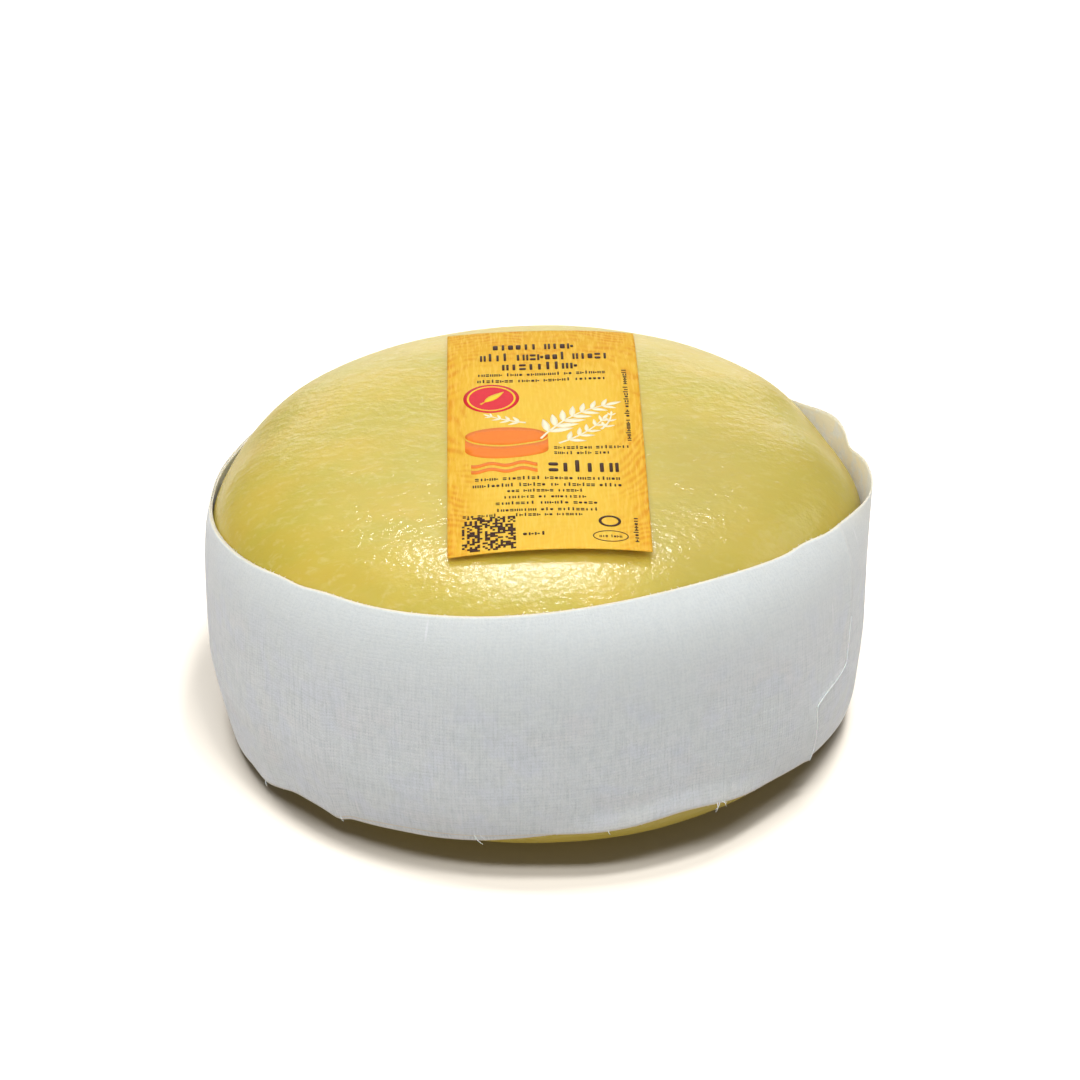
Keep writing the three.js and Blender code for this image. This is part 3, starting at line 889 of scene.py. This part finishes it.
def paper_label(surface):
    """The label: a thin sheet that follows the top of the wheel."""
    across = np.linspace(-0.5, 0.5, LABEL_COLUMNS + 1)[:, None] * LABEL_WIDTH
    back = np.linspace(-0.5, 0.5, LABEL_ROWS + 1)[None, :] * LABEL_LENGTH
    under = label_point(across, back, 0)
    over = label_point(across, back, LABEL_THICKNESS)
    flat = np.stack(np.broadcast_arrays(across, back), axis=-1)
    piece = thin_solid("label", under, over, surface, flat, "label")
    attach(piece, "root")
    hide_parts("paper_label")
    return piece


def ellipse(middle, radii, corners=ELLIPSE_CORNERS):
    """Outline of an ellipse."""
    turn = np.arange(corners) * (2 * math.pi / corners)
    return np.array(middle) + np.stack([np.cos(turn), np.sin(turn)], 1) * radii


def ring(middle, radii, width):
    """An elliptic ring, as four-sided outlines."""
    inner = ellipse(middle, (radii[0] - width, radii[1] - width))
    outer = ellipse(middle, radii)
    outlines = []
    for here in range(ELLIPSE_CORNERS):
        there = (here + 1) % ELLIPSE_CORNERS
        outlines.append(np.array([outer[here], outer[there], inner[there], inner[here]]))
    return outlines


def block(left, low, width, height, corner):
    """Outline of an upright block with rounded corners."""
    turn = np.radians((0, 45, 90))
    outline = []
    for quarter, (x, y) in enumerate([(1, 1), (0, 1), (0, 0), (1, 0)]):
        middle = (left + corner + x * (width - 2 * corner), low + corner + y * (height - 2 * corner))
        for part in turn + quarter * math.pi / 2:
            outline.append((middle[0] + corner * math.cos(part), middle[1] + corner * math.sin(part)))
    return outline


def mark_row(left, right, low, height, groups):
    """A row of small plain marks in groups, in place of a line of print."""
    whole = sum(groups) * (MARK_WIDTH + MARK_GAP) + (len(groups) - 1) * GROUP_GAP - MARK_GAP
    scale = (right - left) / whole
    outlines = []
    place = left
    for count in groups:
        for _ in range(count):
            for x, y, width, tall in random.choice(MARKS):
                sides = (width * scale, tall * height)
                corner = MARK_CORNER * min(sides)
                outlines.append(block(place + x * scale, low + y * height, *sides, corner))
            place += (MARK_WIDTH + MARK_GAP) * scale
        place += GROUP_GAP * scale
    return outlines


def square_code():
    """A square field of cells, each filled or not at random. Filled neighbours make one bar."""
    width, height = CODE_CELL
    outlines = []
    for row in range(CODE_CELLS):
        low = CODE_LOW + row * height + CODE_INSET
        top = low + height - 2 * CODE_INSET
        filled = [random.random() < 0.5 for _ in range(CODE_CELLS)] + [False]
        first = None
        for column, full in enumerate(filled):
            if full and first is None:
                first = CODE_LEFT + column * width
            if not full and first is not None:
                last = CODE_LEFT + column * width
                outlines.append([(first, low), (last, low), (last, top), (first, top)])
                first = None
    return outlines


def leaf(root, heading, length, width):
    """Outline of a pointed leaf from its root."""
    share = np.linspace(0, 1, LEAF_POINTS)[:, None]
    bulge = width / 2 * np.sin(math.pi * share**LEAF_FULLNESS)
    ahead = np.array([math.cos(heading), math.sin(heading)])
    aside = np.array([-ahead[1], ahead[0]])
    middle = np.array(root) + length * share * ahead
    return np.concatenate([middle + bulge * aside, (middle - bulge * aside)[-2:0:-1]])


def sprig(root, heading, bend, length, pairs, leaf_length):
    """A bending stem with pairs of leaves that grow smaller towards its tip, and a leaf at its tip."""
    turn = heading + bend * np.linspace(0, 1, SPRIG_STEPS + 1)
    ahead = np.stack([np.cos(turn), np.sin(turn)], 1)
    points = np.array(root) + length / SPRIG_STEPS * (np.cumsum(ahead, axis=0) - ahead[0])
    aside = np.stack([-ahead[:, 1], ahead[:, 0]], 1)
    aside *= np.linspace(*STEM_WIDTHS, SPRIG_STEPS + 1)[:, None] / 2
    left = points + aside
    right = points - aside
    outlines = [np.array([right[i], right[i + 1], left[i + 1], left[i]]) for i in range(SPRIG_STEPS)]
    for share in np.linspace(FIRST_LEAVES, LAST_LEAVES, pairs):
        index = int(share * SPRIG_STEPS)
        size = leaf_length * (1 - LEAF_SHRINK * share)
        for side in (-1, 1):
            outlines.append(leaf(points[index], turn[index] + side * LEAF_TURN, size, LEAF_WIDTH * size))
    tip = TIP_LEAF * leaf_length
    outlines.append(leaf(points[-2], turn[-1], tip, LEAF_WIDTH * tip))
    return outlines


def filled(outlines):
    """Outlines on the flat label, filled with triangles small enough to bend with its curve."""
    shapes = bmesh.new()
    for outline in outlines:
        shapes.faces.new([shapes.verts.new((x, y, 0)) for x, y in outline])
    bmesh.ops.remove_doubles(shapes, verts=shapes.verts, dist=WELD_DISTANCE)
    long_edges = shapes.edges[:]
    while long_edges:
        bmesh.ops.triangulate(shapes, faces=shapes.faces)
        long_edges = [edge for edge in shapes.edges if edge.calc_length() > INK_STEP]
        bmesh.ops.subdivide_edges(shapes, edges=long_edges, cuts=1)
    return shapes


def printed(name, outlines, surface, level):
    """Shapes printed on the label, as thin solids laid on its curve."""
    shapes = filled(outlines)
    shapes.verts.index_update()
    shapes.verts.ensure_lookup_table()
    flat = np.array([vertex.co[:2] for vertex in shapes.verts])
    count = len(flat)
    faces = []
    for face in shapes.faces:
        corners = [vertex.index for vertex in face.verts]
        if face.normal.z < 0:
            corners.reverse()
        faces.append([corner + count for corner in corners])
        faces.append(corners[::-1])
        for here, there in zip(corners, corners[1:] + corners[:1]):
            if shapes.edges.get([shapes.verts[here], shapes.verts[there]]).is_boundary:
                faces.append([here, there, there + count, here + count])
    shapes.free()
    low = label_point(flat[:, 0], flat[:, 1], LABEL_THICKNESS)
    high = label_point(flat[:, 0], flat[:, 1], LABEL_THICKNESS + INK_THICKNESS * level)
    piece = new_piece(name, np.concatenate([low, high]), faces, surface)
    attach(piece, "root")
    return piece


def brown_print():
    """Rows of marks, the square code and two round marks."""
    outlines = []
    for row in PRINT_ROWS:
        outlines += mark_row(*row)
    for start, end, groups in PRINT_EDGE_ROWS:
        for outline in mark_row(start, end, 0, PRINT_EDGE_HEIGHT, groups):
            outlines.append([(PRINT_EDGE_LOW + PRINT_EDGE_HEIGHT - y, x) for x, y in outline])
    return outlines + square_code() + ring(*ROUND_MARK) + ring(*OVAL_MARK)


def orange_print():
    """A whole cheese seen from above its rim, over two waves."""
    top = ellipse(CHEESE_MARK, CHEESE_MARK_SIZE)
    near = np.linspace(math.pi, 2 * math.pi, CURVE_POINTS)
    rim = np.array(CHEESE_MARK) + np.stack([np.cos(near), np.sin(near)], 1) * CHEESE_MARK_SIZE
    below = (0, CHEESE_MARK_LINE)
    foot = (0, CHEESE_MARK_LINE + CHEESE_MARK_DEPTH)
    outlines = [top, np.concatenate([rim - below, (rim - foot)[::-1]])]
    across = np.linspace(*WAVE_ENDS, CURVE_POINTS)
    for low in WAVE_LOWS:
        crest = np.stack([across, low + WAVE_HEIGHT * np.sin(WAVE_TURN * across)], 1)
        outlines.append(np.concatenate([crest, (crest - (0, WAVE_DEPTH))[::-1]]))
    return outlines


def badge_leaf():
    """A thin line round the badge, and a leaf with a stalk in its middle."""
    return ring(BADGE, *BADGE_LINE) + sprig(*BADGE_LEAF)


def label_print():
    """The label's print. Marks stand for lettering, and its pictures are plain leaves, a badge
    and a cheese. Inks that lie on others are a little thicker."""
    white = []
    for branch in SPRIGS:
        white += sprig(*branch)
    layers = (
        ("brown", brown_print(), 3),
        ("orange", orange_print(), 1),
        ("white", white, 2),
        ("red", [ellipse(BADGE, BADGE_SIZE, BADGE_CORNERS)], 1),
        ("yellow", badge_leaf(), 2),
    )
    pieces = []
    for colour, outlines, level in layers:
        surface = ink_surface(colour + "_ink", INKS[colour])
        flat = [np.array(outline) * MILLIMETRE for outline in outlines]
        pieces.append(printed("label_print_" + colour, flat, surface, level))
    return pieces


def soft_light(name, azimuth, elevation, distance, size, watts, lit):
    """A rectangular softbox round the part, out of the camera's sight. It lights only what is in lit."""
    lamp = bpy.data.lights.new(name, "AREA")
    lamp.shape = "RECTANGLE"
    lamp.size, lamp.size_y = size
    lamp.energy = watts
    thing = bpy.data.objects.new(name, lamp)
    round_angle, height_angle = math.radians(azimuth), math.radians(elevation)
    flat = math.cos(height_angle)
    away = Vector((math.sin(round_angle) * flat, -math.cos(round_angle) * flat, math.sin(height_angle)))
    thing.location = LIGHTS_CENTRE + distance * away
    thing.rotation_mode = "QUATERNION"
    thing.rotation_quaternion = (-away).to_track_quat("-Z", "Y")
    thing.visible_camera = False
    thing.light_linking.receiver_collection = lit
    bpy.context.scene.collection.objects.link(thing)
    return thing


def group(name, pieces):
    """A named collection of pieces."""
    made = bpy.data.collections.new(name)
    for piece in pieces:
        made.objects.link(piece)
    return made


def surroundings():
    """Surroundings with one brightness and colour above the horizon and another below it."""
    world = bpy.data.worlds.new("surroundings")
    bpy.context.scene.world = world
    world.use_nodes = True
    tree = world.node_tree
    direction = tree.nodes.new("ShaderNodeTexCoord").outputs["Generated"]
    apart = tree.nodes.new("ShaderNodeSeparateXYZ")
    share = tree.nodes.new("ShaderNodeMapRange")
    mix = tree.nodes.new("ShaderNodeMix")
    mix.data_type = "RGBA"
    tree.links.new(direction, apart.inputs[0])
    tree.links.new(apart.outputs[2], share.inputs["Value"])
    share.inputs["From Min"].default_value = -HORIZON
    share.inputs["From Max"].default_value = HORIZON
    tree.links.new(share.outputs["Result"], mix.inputs[0])
    for socket, (colour, strength) in ((MIX_FIRST, WORLD_BELOW), (MIX_SECOND, WORLD_ABOVE)):
        mix.inputs[socket].default_value = (*[strength * part for part in colour], 1)
    tree.links.new(mix.outputs[MIX_RESULT], tree.nodes["Background"].inputs["Color"])


def studio(pieces):
    """Pale floor, pale surroundings, softboxes and the camera."""
    floor_surface = Surface("floor", Roughness=0.9, Specular_IOR_Level=0.1)
    uneven = floor_surface.grain(floor_surface.stretch(floor_surface.place(), (3, 3, 3)), 1)
    floor_surface.drive("Base Color", floor_surface.blend(uneven, *FLOOR_HUES))
    corners = FLOOR_REACH * np.array([(-1, -1, 0), (1, -1, 0), (1, 1, 0), (-1, 1, 0)], float)
    floor = new_piece("floor", corners, [[0, 1, 2, 3]], floor_surface)
    floor.visible_diffuse = False
    floor.visible_shadow = False
    surroundings()
    part = group("lit_part", pieces)
    ground = group("lit_floor", [floor])
    for name, *light in PART_LIGHTS:
        soft_light(name, *light, part)
    for name, *light in DULL_LIGHTS:
        soft_light(name, *light, part).visible_glossy = False
    for name, *light in GLOSS_LIGHTS:
        soft_light(name, *light, part).visible_diffuse = False
    for name, *light in FLOOR_LIGHTS:
        soft_light(name, *light, ground)
    camera = bpy.data.objects.new("camera", bpy.data.cameras.new("camera"))
    camera.data.lens = CAMERA_LENS
    camera.data.sensor_width = CAMERA_SENSOR
    back = Vector((0, -math.cos(CAMERA_ELEVATION), math.sin(CAMERA_ELEVATION)))
    camera.location = CAMERA_TARGET + CAMERA_DISTANCE * back
    camera.rotation_mode = "QUATERNION"
    camera.rotation_quaternion = (-back).to_track_quat("-Z", "Y")
    camera.data.clip_end = CAMERA_REACH
    bpy.context.scene.collection.objects.link(camera)
    bpy.context.scene.camera = camera
    bpy.context.scene.view_settings.view_transform = "Standard"


random.seed(5)
thread = thread_surface()
cloth = cloth_strip(cotton_surface())
loose = [cloth_fibres(thread), end_thread(thread), loose_threads(thread)]
pieces = [cheese_wheel(rind_surface()), cloth, *loose, paper_label(paper_surface())]
pieces += label_print()
studio(pieces)
